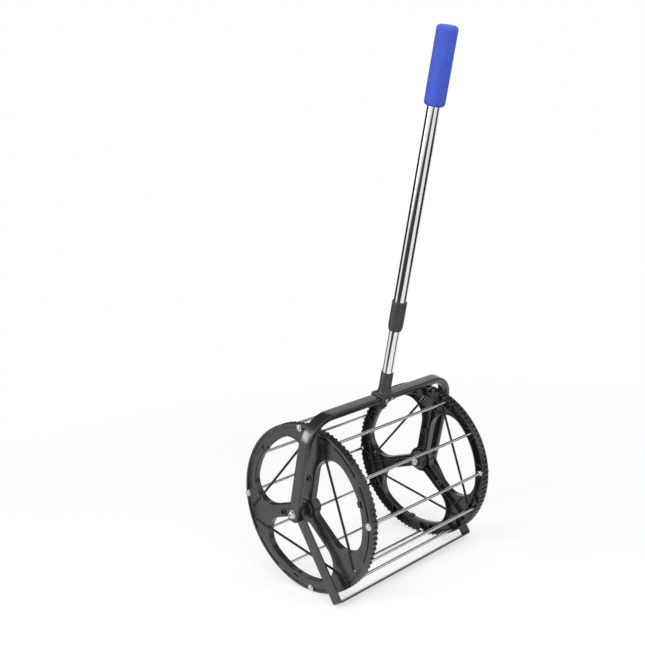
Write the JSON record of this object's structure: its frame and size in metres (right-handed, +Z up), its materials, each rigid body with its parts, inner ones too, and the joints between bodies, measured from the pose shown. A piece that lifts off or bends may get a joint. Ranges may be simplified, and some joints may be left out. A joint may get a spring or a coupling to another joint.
{
  "type": "tennis ball roller collector",
  "caption": "Rolling cage drum between two spoked wheels, in a yoke with a fold-out stand and a telescopic pole with a foam grip.",
  "frame": {"origin": "on the floor, in the middle of the whole object's outline; the drum's axle is above and behind it", "axes": "+X to the right along the drum's axle, -Y to the front, the side the pole leans to, +Z up"},
  "size_m": [0.375, 0.3608, 0.8685],
  "materials": {
    "wheel_black": "black moulded polypropylene, lightly grained, semi matt",
    "frame_black": "black powder coat, semi gloss",
    "bright_steel": "polished bright steel",
    "zinc": "zinc plated steel",
    "spring_steel": "spring steel",
    "cord": "black braided elastic cord",
    "nylon": "dark grey nylon",
    "fitting_black": "black moulded plastic, semi gloss",
    "foam": "blue closed cell foam, fine rings"
  },
  "bodies": {
    "frame": {"yoke": "frame_black", "pole_socket": "fitting_black", "left_saddle_screw": "zinc", "right_saddle_screw": "zinc", "socket_bolt": "zinc", "lower_tube": "bright_steel", "lower_tube_plug": "nylon", "button_spring": "spring_steel", "left_pivot_bolt": "zinc", "left_pivot_washer": "zinc", "left_pivot_nut": "zinc", "left_friction_washer": "nylon", "left_spacer": "fitting_black", "right_pivot_bolt": "zinc", "right_pivot_washer": "zinc", "right_pivot_nut": "zinc", "right_friction_washer": "nylon", "right_spacer": "fitting_black"},
    "stand_loop": {"stand": "frame_black"},
    "drum": {"left_wheel": "wheel_black", "right_wheel": "wheel_black", "left_hub_bush": "nylon", "right_hub_bush": "nylon", "tie_rod_0": "bright_steel", "cage_rod_1": "bright_steel", "cage_rod_2": "bright_steel", "tie_rod_3": "bright_steel", "cage_rod_4": "bright_steel", "cage_rod_5": "bright_steel", "tie_rod_6": "bright_steel", "cage_rod_7": "bright_steel", "cage_rod_8": "bright_steel", "tie_rod_9": "bright_steel", "cage_rod_10": "bright_steel", "cage_rod_11": "bright_steel", "left_rim_screw_0": "zinc", "left_rim_screw_3": "zinc", "left_rim_screw_6": "zinc", "left_rim_screw_9": "zinc", "left_window_cord_1": "cord", "left_window_cord_2": "cord", "left_window_cord_3": "cord", "right_rim_screw_0": "zinc", "right_rim_screw_3": "zinc", "right_rim_screw_6": "zinc", "right_rim_screw_9": "zinc", "right_window_cord_1": "cord", "right_window_cord_2": "cord", "right_window_cord_3": "cord"},
    "upper_pole": {"upper_tube": "bright_steel", "lock_sleeve": "fitting_black", "upper_tube_plug": "nylon", "foam_grip": "foam"},
    "lock_button": {"snap_button": "zinc"}
  },
  "joints": [
    {"name": "drum_spin", "type": "hinge", "parent": "frame", "child": "drum", "pos_m": [0, 0.04048, 0.14], "axis": [1, 0, 0], "continuous": true},
    {"name": "stand_fold", "type": "hinge", "parent": "frame", "child": "stand_loop", "pos_m": [0, 0.04048, 0.14], "axis": [1, 0, 0], "range_deg": [-125, 40]},
    {"name": "pole_slide", "type": "slide", "parent": "frame", "child": "upper_pole", "axis": [0, -0.274, 0.9617], "range_m": [-0.06, 0]},
    {"name": "button_press", "type": "slide", "parent": "frame", "child": "lock_button", "axis": [1, 0, 0], "range_m": [0, 0.0025], "stiffness_N_per_m": 300, "springref_m": 0.0035}
  ]
}
